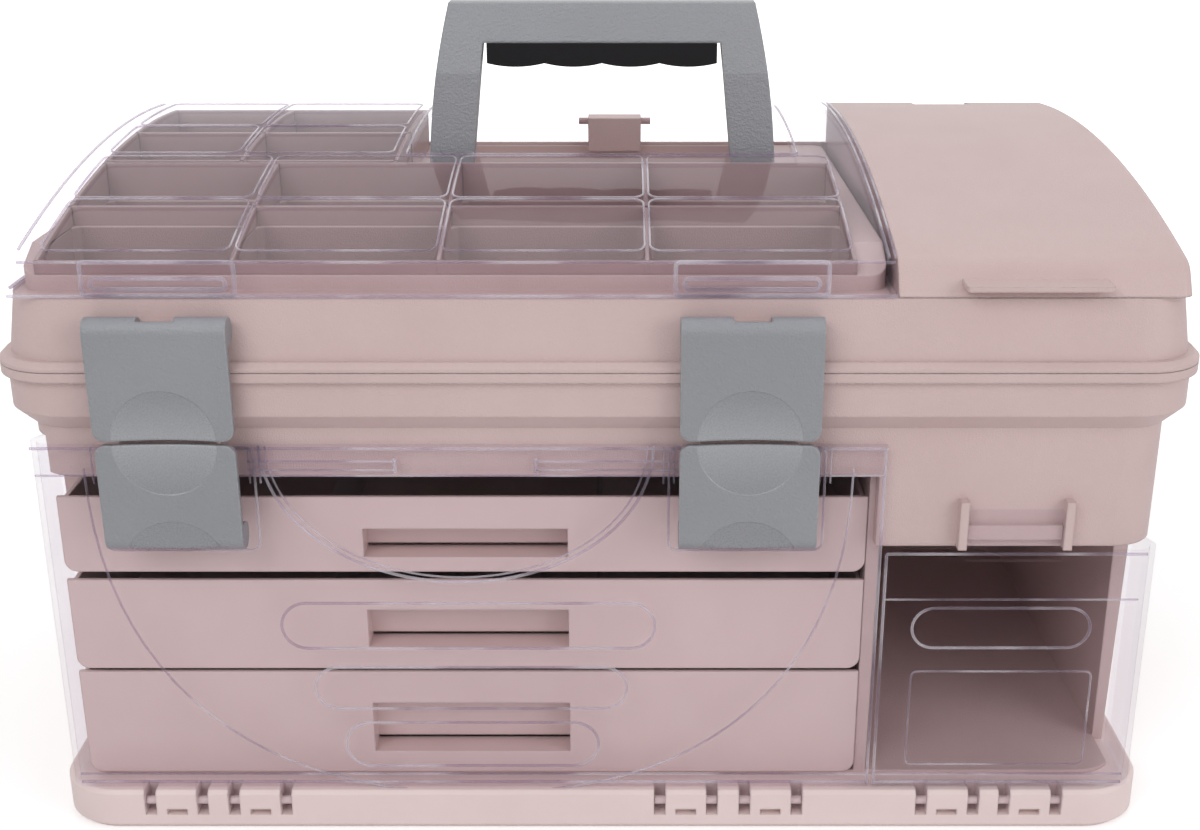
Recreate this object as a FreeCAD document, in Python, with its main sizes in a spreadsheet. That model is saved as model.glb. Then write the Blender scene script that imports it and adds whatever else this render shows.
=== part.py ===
import FreeCAD, Part
import math
import os
import Sketcher
from FreeCAD import Placement, Rotation, Vector

# A carrying case with a clear top cover, a side lid, three drawers behind a clear door and a
# side compartment. Front is -Y, up is +Z, and the origin is under the middle of the base.

doc = FreeCAD.newDocument("drawer_organizer")
sheet = doc.addObject("Spreadsheet::Sheet", "sizes")


class Size:
    """A number together with the expression that gives it from the sheet."""

    def __init__(self, value, text):
        self.value = value
        self.text = text

    def join(self, other, sign, value):
        return Size(value, "(%s %s %s)" % (self.text, sign, other.text))

    def __add__(self, other):
        other = as_size(other)
        return self.join(other, "+", self.value + other.value)

    def __radd__(self, other):
        return as_size(other) + self

    def __sub__(self, other):
        other = as_size(other)
        return self.join(other, "-", self.value - other.value)

    def __rsub__(self, other):
        return as_size(other) - self

    def __mul__(self, other):
        other = as_size(other)
        return self.join(other, "*", self.value * other.value)

    def __rmul__(self, other):
        return as_size(other) * self

    def __truediv__(self, other):
        other = as_size(other)
        return self.join(other, "/", self.value / other.value)

    def __neg__(self):
        return Size(-self.value, "(-1 * %s)" % self.text)


def as_size(number):
    if isinstance(number, Size):
        return number
    return Size(float(number), "%.6f" % number)


def tan(angle):
    return Size(math.tan(math.radians(angle.value)), "tan(%s)" % angle.text)


def root(number):
    return Size(math.sqrt(number.value), "sqrt(%s)" % number.text)


row = 0


def size(alias, value, note):
    """Writes one driving dimension into the sheet and returns it."""
    global row
    row += 1
    sheet.set("A%d" % row, note)
    sheet.set("B%d" % row, "%g" % value)
    sheet.setAlias("B%d" % row, alias)
    return Size(float(value), "sizes.%s" % alias)


AXES = {"XY": "XY_Plane", "XZ": "XZ_Plane", "YZ": "YZ_Plane"}
# A sketch on XZ looks along +Y, so its normal runs against the Y axis.
TURNED = {"XY": 1, "XZ": -1, "YZ": 1}


def arc_between(start, end, radius):
    """The shorter arc from start to end; a negative radius turns clockwise."""
    chord = end - start
    middle = (start + end) * 0.5
    left = Vector(-chord.y, chord.x, 0).normalize()
    rise = math.sqrt(max(radius * radius - chord.Length ** 2 / 4, 0))
    centre = middle + left * (rise if radius > 0 else -rise)
    first, last = (start, end) if radius > 0 else (end, start)
    angles = [math.atan2(p.y - centre.y, p.x - centre.x) for p in (first, last)]
    circle = Part.Circle(centre, Vector(0, 0, 1), abs(radius))
    return Part.ArcOfCircle(circle, angles[0], angles[1])


def draw(sketch, outline):
    """Draws one closed outline, with every corner and radius bound to the sheet."""
    if outline[0][0] == "disc":
        draw_disc(sketch, *outline[0][1:])
        return
    corners = [(as_size(entry[0]), as_size(entry[1])) for entry in outline]
    places = [Vector(x.value, y.value, 0) for x, y in corners]
    count = len(outline)
    first = sketch.GeometryCount
    rules = []
    bound = []
    ends = []
    for index, entry in enumerate(outline):
        start = places[index]
        end = places[(index + 1) % count]
        if len(entry) == 2:
            sketch.addGeometry(Part.LineSegment(start, end), False)
            ends.append((1, 2))
        else:
            radius = as_size(entry[2])
            sketch.addGeometry(arc_between(start, end, radius.value), False)
            ends.append((1, 2) if radius.value > 0 else (2, 1))
    for index in range(count):
        after = (index + 1) % count
        rules.append(Sketcher.Constraint("Coincident", first + index, ends[index][1],
                                         first + after, ends[after][0]))
        bound.append(None)
    for index, (x, y) in enumerate(corners):
        for kind, place in (("DistanceX", x), ("DistanceY", y)):
            rules.append(Sketcher.Constraint(kind, first + index, ends[index][0], place.value))
            bound.append(place)
    for index, entry in enumerate(outline):
        if len(entry) == 3:
            radius = as_size(entry[2])
            if radius.value < 0:
                radius = -radius
            rules.append(Sketcher.Constraint("Radius", first + index, radius.value))
            bound.append(radius)
    constrain(sketch, rules, bound)


def draw_disc(sketch, x, y, radius):
    """Draws a full circle."""
    places = [as_size(x), as_size(y), as_size(radius)]
    index = sketch.GeometryCount
    middle = Vector(places[0].value, places[1].value, 0)
    sketch.addGeometry(Part.Circle(middle, Vector(0, 0, 1), places[2].value), False)
    rules = [Sketcher.Constraint("DistanceX", index, 3, places[0].value),
             Sketcher.Constraint("DistanceY", index, 3, places[1].value),
             Sketcher.Constraint("Radius", index, places[2].value)]
    constrain(sketch, rules, places)


def constrain(sketch, rules, places):
    """Adds constraints, each bound to the expression of its place if it has one."""
    base = len(sketch.Constraints)
    sketch.addConstraint(rules)
    for index, place in enumerate(places):
        if place is not None and "sizes." in place.text:
            sketch.setExpression("Constraints[%d]" % (base + index), place.text)


def rectangle(x, y, radius=None):
    """A rectangle between two places on each axis, with rounded corners if asked."""
    (x0, x1), (y0, y1) = x, y
    if radius is None:
        return [(x0, y0), (x1, y0), (x1, y1), (x0, y1)]
    r = radius
    return [(x0 + r, y0), (x1 - r, y0, r), (x1, y0 + r), (x1, y1 - r, r),
            (x1 - r, y1), (x0 + r, y1, r), (x0, y1 - r), (x0, y0 + r, r)]


def octagon(x, y, radius):
    """An eight-sided outline round a circle; it clears a round pin at every angle."""
    x, y, radius = [as_size(value) for value in (x, y, radius)]
    short = radius * (root(as_size(2)) - 1)
    turns = ((1, 1), (-1, 1), (-1, -1), (1, -1))
    points = []
    for side, up in turns:
        near = (x + radius * side, y + short * up)
        far = (x + short * side, y + radius * up)
        points += [near, far] if side == up else [far, near]
    return points


def disc(x, y, radius):
    """A full circle."""
    return [("disc", x, y, radius)]


class Piece:
    """One moulded piece: a body whose features are added in the order they are made."""

    def __init__(self, name):
        self.name = name
        self.body = doc.addObject("PartDesign::Body", name)
        self.body.Label = name
        self.count = 0

    def plane(self, plane):
        for item in self.body.Origin.OriginFeatures:
            if item.Role == AXES[plane]:
                return item

    def feature(self, kind, plane, outlines, low, high, word, draft=None):
        self.count += 1
        tag = "%s_%s_%d" % (self.name, word, self.count)
        sketch = self.body.newObject("Sketcher::SketchObject", tag + "_sketch")
        sketch.AttachmentSupport = (self.plane(plane), "")
        sketch.MapMode = "FlatFace"
        low = as_size(low)
        high = as_size(high)
        adds = kind == "PartDesign::Pad"
        at = low if adds == (TURNED[plane] > 0) else high
        level = at * TURNED[plane]
        sketch.AttachmentOffset = Placement(Vector(0, 0, level.value), Rotation())
        if "sizes." in level.text:
            sketch.setExpression("AttachmentOffset.Base.z", level.text)
        for outline in outlines:
            draw(sketch, outline)
        item = self.body.newObject(kind, tag)
        item.Profile = sketch
        depth = high - low
        item.Length = depth.value
        if "sizes." in depth.text:
            item.setExpression("Length", depth.text)
        if draft is not None:
            item.TaperAngle = draft.value
            item.setExpression("TaperAngle", draft.text)
        self.body.Tip = item
        return item

    def pad(self, plane, outline, low, high, word="pad", draft=None):
        outlines = outline if isinstance(outline[0], list) else [outline]
        return self.feature("PartDesign::Pad", plane, outlines, low, high, word, draft)

    def pocket(self, plane, outline, low, high, word="pocket", draft=None):
        outlines = outline if isinstance(outline[0], list) else [outline]
        return self.feature("PartDesign::Pocket", plane, outlines, low, high, word, draft)

    def dress(self, kind, radius, pick, word):
        """Rounds or bevels the edges that pick chooses on the body as it stands."""
        doc.recompute()
        shape = self.body.Tip.Shape
        names = []
        for index, edge in enumerate(shape.Edges):
            if pick(edge):
                names.append("Edge%d" % (index + 1))
        if not names:
            raise RuntimeError("no edge found for %s of %s" % (word, self.name))
        self.count += 1
        base = self.body.Tip
        item = self.body.newObject(kind, "%s_%s_%d" % (self.name, word, self.count))
        item.Base = (base, names)
        amount = "Radius" if kind.endswith("Fillet") else "Size"
        radius = as_size(radius)
        setattr(item, amount, radius.value)
        if "sizes." in radius.text:
            item.setExpression(amount, radius.text)
        self.body.Tip = item
        return item

    def dish(self, x, y, z, radius, word="dish"):
        """Hollows the body with a ball whose middle is at x, y, z."""
        self.count += 1
        item = self.body.newObject("PartDesign::SubtractiveSphere",
                                   "%s_%s_%d" % (self.name, word, self.count))
        radius = as_size(radius)
        item.Radius = radius.value
        item.setExpression("Radius", radius.text)
        middle = [as_size(value) for value in (x, y, z)]
        item.Placement = Placement(Vector(*[value.value for value in middle]), Rotation())
        for letter, value in zip("xyz", middle):
            item.setExpression("Placement.Base." + letter, value.text)
        self.body.Tip = item
        return item

    def fillet(self, radius, pick, word="round"):
        return self.dress("PartDesign::Fillet", radius, pick, word)

    def chamfer(self, radius, pick, word="bevel"):
        return self.dress("PartDesign::Chamfer", radius, pick, word)


NEAR = 0.05


def at_height(*heights):
    """Picks level edges at the given heights."""
    def pick(edge):
        box = edge.BoundBox
        return any(abs(box.ZMin - as_size(z).value) < NEAR and box.ZLength < NEAR for z in heights)
    return pick


def inside(low, high):
    """Picks edges that lie wholly between two corners."""
    def pick(edge):
        box = edge.BoundBox
        return (box.XMin > as_size(low[0]).value - NEAR and box.XMax < as_size(high[0]).value + NEAR
                and box.YMin > as_size(low[1]).value - NEAR and box.YMax < as_size(high[1]).value + NEAR
                and box.ZMin > as_size(low[2]).value - NEAR and box.ZMax < as_size(high[2]).value + NEAR)
    return pick


def both(*picks):
    """Picks edges that every test accepts."""
    return lambda edge: all(pick(edge) for pick in picks)


# Driving dimensions, in millimetres and degrees
gap = size("running_gap", 0.3, "running gap between pieces that move")
draft = size("mould_draft", 1.1, "draft of the body's walls")
rim_width = size("rim_width", 545, "width over the rim bead")
rim_depth = size("rim_depth", 298, "depth over the rim bead")
rim_corner = size("rim_corner", 30, "plan radius of the rim")
rim_level = size("rim_level", 238, "height of the parting between bin and lid")
bead_half = size("bead_half", 4.5, "height of each half of the rim bead")
bead_step = size("bead_step", 2.5, "how far the bead stands out from the band")
base_width = size("base_width", 536, "width of the base")
base_depth = size("base_depth", 290, "depth of the base")
base_corner = size("base_corner", 30, "plan radius of the base")
base_height = size("base_height", 21.5, "height of the base")
base_bevel = size("base_bevel", 3, "bevel under the base")
base_skin = size("base_skin", 4, "plate left above the ribs of the base")
base_rib = size("base_rib", 3, "thickness of a rib under the base")
base_columns = 10
base_rows = 5
body_width = size("body_width", 516, "width of the body at the base")
body_depth = size("body_depth", 269, "depth of the body at the base")
body_corner = size("body_corner", 22, "plan radius of the body")
wall = size("wall_thickness", 3, "thickness of the moulded walls")
floor = size("floor_thickness", 2.3, "thickness of the floors")
clear_wall = size("clear_wall", 2.5, "thickness of the clear covers and doors")
bay_top = size("bay_top", 185, "underside of the bin over the drawers")
deep_floor = size("deep_floor", 150, "underside of the deep end of the bin")
partition_x = size("partition_place", 128, "middle of the wall beside the drawers")
partition = size("partition_thickness", 6, "thickness of the wall beside the drawers")
front_setback = size("front_setback", 12, "cabinet front behind the door's outer face")
skirt_depth = size("skirt_depth", 41, "how far the doors wrap round the sides")
band_bottom = size("band_bottom", 209, "lower edge of the bowl-shaped band")
band_round = size("band_round", 8, "rounding of the bowl-shaped band")

# Doors
door_face = size("door_face", 141, "outer face of the doors in front of the middle")
door_top = size("door_top", 201, "top edge of the clear front door")
side_door_top = size("side_door_top", 148.5, "top edge of the clear side door")
door_corner = size("door_corner", 10, "plan radius of the doors' outer corner")
door_side = size("door_side", 260.5, "outer side of the doors' skirts")
seam = size("door_seam", 1.5, "gap between the two doors")
hinge_level = size("hinge_level", 14.5, "height of the doors' hinge line")
ear_radius = size("ear_radius", 4.5, "radius of a door's hinge ear")
ear_width = size("ear_width", 5, "width of a door's hinge ear")
ear_spread = size("ear_spread", 25.5, "distance between the two ears of a hinge")
trunnion = size("trunnion_radius", 2, "radius of a moulded hinge trunnion")
front_hinges = [size("hinge_%s" % word, place, "middle of a hinge of the front door")
                for word, place in (("one", -208), ("two", -167), ("three", 41.5), ("four", 83))]
side_hinges = [size("hinge_%s" % word, place, "middle of a hinge of the side door")
               for word, place in (("five", 169.5), ("six", 210))]

# Latches
latch_left = size("latch_left", -192.5, "middle of the left latches")
latch_right = size("latch_right", 67.1, "middle of the right latches")
latch_width = size("latch_width", 62.5, "width of a latch")
latch_face = size("latch_face", 155.5, "front of the latches before the middle")

# Drawers: bottom and top of each front
drawer_levels = [
    ("drawer_top", size("top_low", 133.5, "top drawer, lower edge"),
     size("top_high", 171.7, "top drawer, upper edge")),
    ("drawer_middle", size("middle_low", 82, "middle drawer, lower edge"),
     size("middle_high", 129.1, "middle drawer, upper edge")),
    ("drawer_bottom", size("bottom_low", 24.1, "bottom drawer, lower edge"),
     size("bottom_high", 80.1, "bottom drawer, upper edge")),
]
drawer_depth = size("drawer_depth", 255, "depth of a drawer")
drawer_wall = size("drawer_wall", 2.2, "wall of a drawer")
drawer_drop = size("drawer_drop", 3.4, "drawer sides below the top of its front")
ledge_width = size("ledge_width", 10, "width of the drawer runners")
ledge = size("ledge_thickness", 1.6, "thickness of the drawer runners")
grip_width = size("grip_width", 96, "width of a drawer's finger recess")
grip_x = size("grip_place", -63.3, "middle of the drawers' finger recesses")

half_base = base_width / 2
half_deep = base_depth / 2
body_half = body_width / 2
body_back = body_depth / 2
cabinet_front = -door_face + front_setback
cabinet_floor = base_height + floor
bay_left = -body_half + wall + 2
bay_right = partition_x - partition / 2
side_left = partition_x + partition / 2
side_right = body_half - wall - 2
back_inside = body_back - wall
skirt_end = -door_face + skirt_depth
trunnion_reach = ear_spread / 2 + ear_width / 2

# Lid, cover and tray
band_top = size("band_top", 270, "top of the lid's band, where the covers sit")
band_lean = size("band_lean", 9, "inward lean of the lid's band")
tray_top = size("tray_top", 287, "top of the tray under the clear cover")
tray_floor = size("tray_floor", 251, "floor of the tray's cells")
lid_plate = size("lid_plate", 247, "underside of the lid's plate")
well_floor = size("well_floor", 251, "floor of the compartment under the side lid")
tray_wall = size("tray_wall", 1.8, "walls between the tray's cells")
parting_x = size("parting_place", 131.5, "line between the clear cover and the side lid")
arch_radius = size("arch_radius", 720, "radius of the covers' arch, front to back")
arch_top = size("arch_top", 314.5, "highest level of the covers")
arch_place = size("arch_place", 72, "where the arch is highest, behind the middle")
cover_front = size("cover_front", 131, "front of the arch before the middle")
cover_back = size("cover_back", 137, "rear face of the covers behind the middle")
cover_skirt = size("cover_skirt", 140.3, "front of the covers' lower edge")
cover_inset = size("cover_inset", 10.5, "outer side of the covers inside the rim")
cover_half = rim_width / 2 - cover_inset
cover_round = size("cover_round", 6, "rounding of the covers' ends")
well_half = size("well_half", 96.5, "half the width of the handle well")
well_front = size("well_front", -12, "front edge of the handle well")
well_back = size("well_back", 119, "rear edge of the handle well")
recess_floor = size("recess_floor", 270, "floor of the handle recess in the tray")
column_places = [size("column_%s" % word, place, "edge of the tray's columns")
                 for word, place in (("one", -250), ("two", -163.2), ("three", -71.3),
                                     ("four", 21.5), ("five", 113.8))]
row_one = (size("row_one_front", -125, "first row of cells"), size("row_one_back", -75, "its rear"))
row_two = (size("row_two_front", -72, "second row of cells"), size("row_two_back", -19, "its rear"))
row_three = (size("row_three_front", -10, "third row of cells"), size("row_three_back", 40, "its rear"))
row_four = (size("row_four_front", 45, "last row of cells"), size("row_four_back", 122, "its rear"))
rear_columns = [size("rear_column_%s" % word, place, "edge of the rear columns")
                for word, place in (("one", -250), ("two", -182), ("three", -104))]
lid_axis = size("lid_axis", 150.7, "lid hinge line behind the middle")
lid_barrel = size("lid_barrel", 4.8, "radius of the lid hinge barrels")
cover_axis = size("cover_axis", 141.5, "cover hinge line behind the middle")
cover_axis_level = size("cover_axis_level", 300, "height of the cover hinge line")
cover_barrel = size("cover_barrel", 4, "radius of the cover hinge barrels")

# Handle
pivot_y = size("pivot_place", 9, "handle pivot behind the middle")
pivot_level = size("pivot_level", 284, "height of the handle pivot")
handle_thick = size("handle_thick", 13, "thickness of the handle, front to back")
handle_top = size("handle_top", 381, "top of the handle")
handle_bend = size("handle_bend", 347, "height at which the handle bends back")
lower_lean = size("lower_lean", 4, "lean of the handle's legs")
upper_lean = size("upper_lean", 14, "lean of the handle's bar")
handle_foot = size("handle_foot", 89, "half the handle's width at its feet")
handle_head = size("handle_head", 77.5, "half the handle's width at its top")
handle_side = size("handle_side", 420, "radius of the handle's outer sides")
opening_foot = size("opening_foot", 69.5, "half the handle's opening at the feet")
opening_head = size("opening_head", 60.5, "half the handle's opening at the bar")
bar_low = size("bar_low", 361.5, "underside of the handle's bar")
grip_low = size("grip_low", 349.5, "underside of the handle's grip")
grip_half = size("grip_half", 58.5, "half the length of the grip")
grip_thick = size("grip_thick", 12, "thickness of the grip")
grip_bumps = 4
handle_trunnion = size("handle_trunnion", 2.5, "radius of the handle's pivots")

# Small parts of drawers, latches and hooks
drawer_face = size("drawer_face", 131, "front of the drawers before the middle")
drawer_corner = size("drawer_corner", 3, "rounding of the drawers' corners")
grip_reach = size("grip_reach", 14, "depth of the finger recess with its wall")
divider = size("divider_thickness", 1.6, "thickness of a drawer divider")
grip_levels = {
    "drawer_top": (size("top_grip_low", 141, "top drawer, recess"),
                   size("top_grip_high", 155.5, "top drawer, recess")),
    "drawer_middle": (size("middle_grip_low", 93.5, "middle drawer, recess"),
                      size("middle_grip_high", 113.3, "middle drawer, recess")),
    "drawer_bottom": (size("bottom_grip_low", 35.8, "bottom drawer, recess"),
                      size("bottom_grip_high", 62.8, "bottom drawer, recess")),
}
latch_pivot = size("latch_pivot", 149.2, "latch pivots before the middle")
latch_plate = size("latch_plate", 3, "thickness of a latch")
latch_corner = size("latch_corner", 5, "rounding of a latch's corners")
latch_hook = size("latch_hook", 6, "height of the hook rib from the latch's free end")
lug_offset = size("lug_offset", 16, "reach of a latch pin from the latch's middle")
lug_width = size("lug_width", 16, "width of a latch lug")
lug_radius = size("lug_radius", 2.7, "radius of a latch lug")
hook_half = size("hook_half", 22, "half the width of a latch's hook rib")
catch_face = size("catch_face", 148.5, "front of the catches before the middle")
scoop_width = size("scoop_width", 47, "width of a latch's finger scoop")
scoop_depth = size("scoop_depth", 2, "depth of a latch's finger scoop")
lid_latch_low = size("lid_latch_low", 208.6, "lower edge of the lid latches")
lid_latch_high = size("lid_latch_high", 264, "upper edge of the lid latches")
door_latch_low = size("door_latch_low", 154.4, "lower edge of the door latches")
door_latch_high = size("door_latch_high", 206.5, "upper edge of the door latches")
latch_pin = size("latch_pin", 1.6, "radius of the latches' pins")
latch_boss = latch_face - latch_pivot
lid_pivot_level = lid_latch_high - latch_boss
door_pivot_level = door_latch_low + latch_boss
hook_x = size("hook_place", 191.6, "middle of the side door's hook")
hook_width = size("hook_width", 44, "width of the side door's hook")
hook_top = size("hook_top", 169, "top of the side door's hook")
bar_top = size("bar_top", 161.6, "top of the catch bar of the side door")
bar_bottom = size("bar_bottom", 154.2, "underside of the catch bar")
tab_width = size("tab_width", 64, "width of the covers' thumb tabs")
tab_face = size("tab_face", 149, "front of the covers' thumb tabs before the middle")
wave_radius = size("wave_radius", 60, "radius of the grip's finger waves")
tab_level = size("tab_level", 275, "underside of the covers' thumb tabs")
rear_rim = size("rear_rim", 288.5, "top of the lid's rear rim")
tray_fall = size("tray_fall", 12, "fall of the tray's top towards the front")
brow_radius = size("brow_radius", 14, "radius of the covers' brow")
knuckle_x = size("knuckle_place", 5.8, "middle of the cover hinge")
knuckle_width = size("knuckle_width", 31, "width of a cover hinge knuckle")
knuckle_depth = size("knuckle_depth", 12, "depth of a cover hinge knuckle")
right_knuckle_x = size("right_knuckle_place", 197, "middle of the side lid's hinge")
cover_ear = size("cover_ear", 5.5, "width of a cover's hinge ear")
barrel_width = size("barrel_width", 24, "width of a lid hinge barrel")
lid_hinges = [size("lid_hinge_left", -160, "middle of the left lid hinge"),
              size("lid_hinge_right", 160, "middle of the right lid hinge")]
ear_thickness = size("hook_ear", 4, "thickness of the ears beside the side door's hook")
divider_count = 2
tab_root = size("tab_root", 5, "how far a thumb tab reaches back into its cover")
skirt_trim = size("skirt_trim", 7, "slope of the top of a door's skirt")
bay_corner = size("bay_corner", 12, "rounding of the bay's rear corners")
rib_inset = size("rib_inset", 12, "solid edge round the base's hollow underside")
front_block = size("front_block", 14, "solid strip along the base's front, under the hinges")
cell_corner = size("cell_corner", 3, "cut corners of the tray's cells")
grip_slit = size("grip_slit", 2.2, "height of the slit behind a drawer's recess")
heel_drop = size("heel_drop", 8, "a door latch's lower dish, from its end down to its middle")


def build_base():
    """The rounded plinth, ribbed underneath, with notches for the doors' hinge ears."""
    piece = Piece("base_plinth")
    outline = rectangle((-half_base, half_base), (-half_deep, half_deep), base_corner)
    piece.pad("XY", outline, 0, base_height)
    piece.chamfer(base_bevel, at_height(0))
    piece.chamfer(2, at_height(base_height))
    hollow_x = (rib_inset - half_base, half_base - rib_inset)
    hollow_y = (front_block - half_deep, half_deep - rib_inset)
    hollow = rectangle(hollow_x, hollow_y, base_corner - rib_inset)
    roof = base_height - base_skin
    piece.pocket("XY", hollow, 0, roof, "hollow")
    step_x = (hollow_x[1] - hollow_x[0]) / base_columns
    step_y = (hollow_y[1] - hollow_y[0]) / base_rows
    lengthways = []
    across = []
    for column in range(1, base_columns):
        x = hollow_x[0] + step_x * column
        across.append(rectangle((x - base_rib / 2, x + base_rib / 2),
                                (hollow_y[0] - 1, hollow_y[1] + 1)))
    for line in range(1, base_rows):
        y = hollow_y[0] + step_y * line
        lengthways.append(rectangle((hollow_x[0] - 1, hollow_x[1] + 1),
                                    (y - base_rib / 2, y + base_rib / 2)))
    piece.pad("XY", across, 1, roof + 1, "ribs_across")
    piece.pad("XY", lengthways, 1, roof + 1, "ribs_along")
    notch_floor = hinge_level - ear_radius - 1.5
    notch_back = -door_face + ear_radius + 2
    half_ear = ear_width / 2 + gap
    notches = []
    cores = []
    for x in front_hinges + side_hinges:
        for side in (-1, 1):
            middle = x + ear_spread / 2 * side
            notches.append(rectangle((middle - half_ear, middle + half_ear),
                                     (notch_floor, base_height + 1)))
        cores.append(rectangle((x - 5, x + 5), (notch_floor, hinge_level - trunnion - 1)))
    piece.pocket("XZ", notches, -half_deep - 1, notch_back, "notches")
    piece.pocket("XZ", cores, -half_deep - 1, -half_deep + 4, "cores")
    for x in front_hinges + side_hinges:
        piece.pad("YZ", disc(-door_face, hinge_level, trunnion), x - trunnion_reach,
                  x + trunnion_reach, "trunnion")
    return piece


def build_cabinet():
    """The cabinet: back, sides, the wall beside the drawers, and the drawer runners."""
    piece = Piece("cabinet_shell")
    outline = rectangle((-body_half, body_half), (cabinet_front, body_back), body_corner)
    piece.pad("XY", outline, base_height, bay_top, draft=draft)
    front = -half_deep
    above = bay_top + 1
    depth = (front - body_corner, back_inside)
    piece.pocket("XY", rectangle((bay_left, bay_right), depth, bay_corner), cabinet_floor, above,
                 "bay")
    piece.pocket("XY", rectangle((side_left, side_right), depth, bay_corner), cabinet_floor, above,
                 "compartment")
    piece.pocket("XZ", rectangle((side_left - wall, rim_width / 2), (deep_floor, above)),
                 front, half_deep, "shoulder")
    for x in ((-rim_width / 2, bay_left), (side_right, rim_width / 2)):
        piece.pocket("XY", rectangle(x, (front, skirt_end + 4)), base_height, above, "cheek")
    for name, low, high in drawer_levels[:2]:
        top = low - gap
        for x in ((bay_left, bay_left + ledge_width), (bay_right - ledge_width, bay_right)):
            piece.pad("XZ", rectangle(x, (top - ledge, top)), cabinet_front + 8,
                      back_inside, "runner")
    return piece


def build_bin():
    """The bin under the lid: shallow over the drawers, deep over the side compartment."""
    piece = Piece("upper_bin")
    rise = deep_floor - base_height
    grow = rise * tan(draft)
    half = body_half + grow
    front = -door_face + clear_wall + gap + 0.3
    back = body_back + grow
    outline = rectangle((-half, half), (front, back), body_corner)
    piece.pad("XY", outline, deep_floor, band_bottom, draft=draft * 0.3)
    far = rim_width / 2
    deep = rim_depth / 2
    band_x = far - bead_step
    band_y = deep - bead_step
    band = rectangle((-band_x, band_x), (-band_y, band_y), rim_corner)
    piece.pad("XY", band, band_bottom, rim_level - bead_half, "band")
    piece.chamfer(band_round, both(at_height(band_bottom), beyond(band_y - 1, band_x - 1)))
    bead = rectangle((-far, far), (-deep, deep), rim_corner)
    piece.pad("XY", bead, rim_level - bead_half, rim_level, "bead")
    piece.pocket("XZ", rectangle((-far, side_left - wall), (deep_floor - 1, bay_top)),
                 -deep, deep, "step")
    piece.pocket("XY", rectangle((-far, bay_left), (-deep, skirt_end + 4)),
                 bay_top - 1, door_top + 2, "cheek")
    inner_front = front + wall
    inner_back = back - wall
    bin_corner = body_corner - wall - 1
    left = rectangle((bay_left + wall, side_left - wall), (inner_front, inner_back), bin_corner)
    right = rectangle((side_left, half - wall - 1), (inner_front, inner_back), bin_corner)
    piece.pocket("XY", left, bay_top + wall, rim_level + 1, "tray")
    piece.pocket("XY", right, deep_floor + wall, rim_level + 1, "well")
    inside_x = band_x - wall - 1
    inside_y = band_y - wall - 1
    bowl_floor = band_bottom + band_round
    bowl = rectangle((-inside_x, inside_x), (-inside_y, inside_y), rim_corner - wall - 1)
    piece.pocket("XY", bowl, bowl_floor, rim_level + 1, "bowl")
    across = rectangle((side_left - wall, side_left), (-inside_y - 1, inside_y + 1))
    piece.pad("XY", across, bowl_floor, rim_level - bead_half * 2, "partition")
    for x in (latch_left, latch_right):
        across = (x - hook_half, x + hook_half)
        level = lid_latch_low + latch_hook + 3
        piece.pad("XZ", rectangle(across, (level, level + 3)), -catch_face, -band_y + 1, "catch")
        level = door_latch_high - latch_hook + 3
        piece.pad("XZ", rectangle(across, (level, level + 3)), -catch_face, front + 1, "catch")
    across = (hook_x - hook_width / 2, hook_x + hook_width / 2)
    piece.pad("XZ", rectangle(across, (bar_bottom, bar_top)), gap - door_face, front + 1, "bar")
    for side in (-1, 1):
        low, high = span(side, hook_width / 2 + gap + ear_thickness, hook_width / 2 + gap)
        ear = rectangle((hook_x + low, hook_x + high), (bar_bottom - 4, hook_top + 5))
        piece.pad("XZ", ear, -door_face - clear_wall, front + 1, "ear")
    for x in lid_hinges:
        own = x - (barrel_width + gap) / 2
        other = own + barrel_width + gap
        add_barrel(piece, own, other, rim_level - bead_half, rim_level)
        piece.pad("YZ", disc(lid_axis, rim_level, trunnion), own, other + barrel_width / 2, "trunnion")
    return piece


def beyond(y, x):
    """Picks edges whose middle lies outside a rectangle round the origin."""
    def pick(edge):
        middle = edge.BoundBox.Center
        return abs(middle.y) > as_size(y).value or abs(middle.x) > as_size(x).value
    return pick


def along_y(edge):
    """Picks edges that run straight along Y."""
    box = edge.BoundBox
    return box.XLength < NEAR and box.ZLength < NEAR


def along_x(edge):
    """Picks edges that run straight along X."""
    box = edge.BoundBox
    return box.YLength < NEAR and box.ZLength < NEAR


def build_drawer(name, low, high, recess_low, recess_high):
    """A drawer with a finger recess moulded into its front."""
    piece = Piece(name)
    face = -drawer_face
    back = face + drawer_depth
    x = (bay_left + gap, bay_right - gap)
    piece.pad("XY", rectangle(x, (face, back), drawer_corner), low, high - drawer_drop)
    piece.pad("XY", rectangle(x, (face, face + drawer_wall)), low, high, "front")
    piece.fillet(drawer_corner * 2, both(along_y, inside(
        (x[0], face, low), (x[1], face + drawer_wall, low))), "corner")
    piece.pocket("XY", rectangle((x[0] + drawer_wall, x[1] - drawer_wall),
                                 (face + drawer_wall, back - drawer_wall), drawer_corner),
                 low + drawer_wall, high + 1, "inside")
    half = grip_width / 2
    shell = rectangle((grip_x - half - drawer_wall, grip_x + half + drawer_wall),
                      (recess_low - drawer_wall, recess_high + drawer_wall))
    piece.pad("XZ", shell, face, face + grip_reach, "grip_shell")
    hollow = rectangle((grip_x - half, grip_x + half), (recess_low, recess_high))
    piece.pocket("XZ", hollow, face - 1, face + grip_reach - drawer_wall, "grip")
    slit = rectangle((grip_x - half, grip_x + half), (recess_low, recess_low + grip_slit))
    piece.pocket("XZ", slit, face + grip_reach - drawer_wall - 1, face + grip_reach + 1, "slit")
    return piece


def build_divider(name, x, low, high):
    """A loose plate that stands across a drawer."""
    piece = Piece(name)
    inner = (-drawer_face + drawer_wall + gap, -drawer_face + drawer_depth - drawer_wall - gap)
    piece.pad("YZ", rectangle(inner, (low + drawer_wall, high - drawer_drop - 2)),
              x - divider / 2, x + divider / 2)
    return piece


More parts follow.
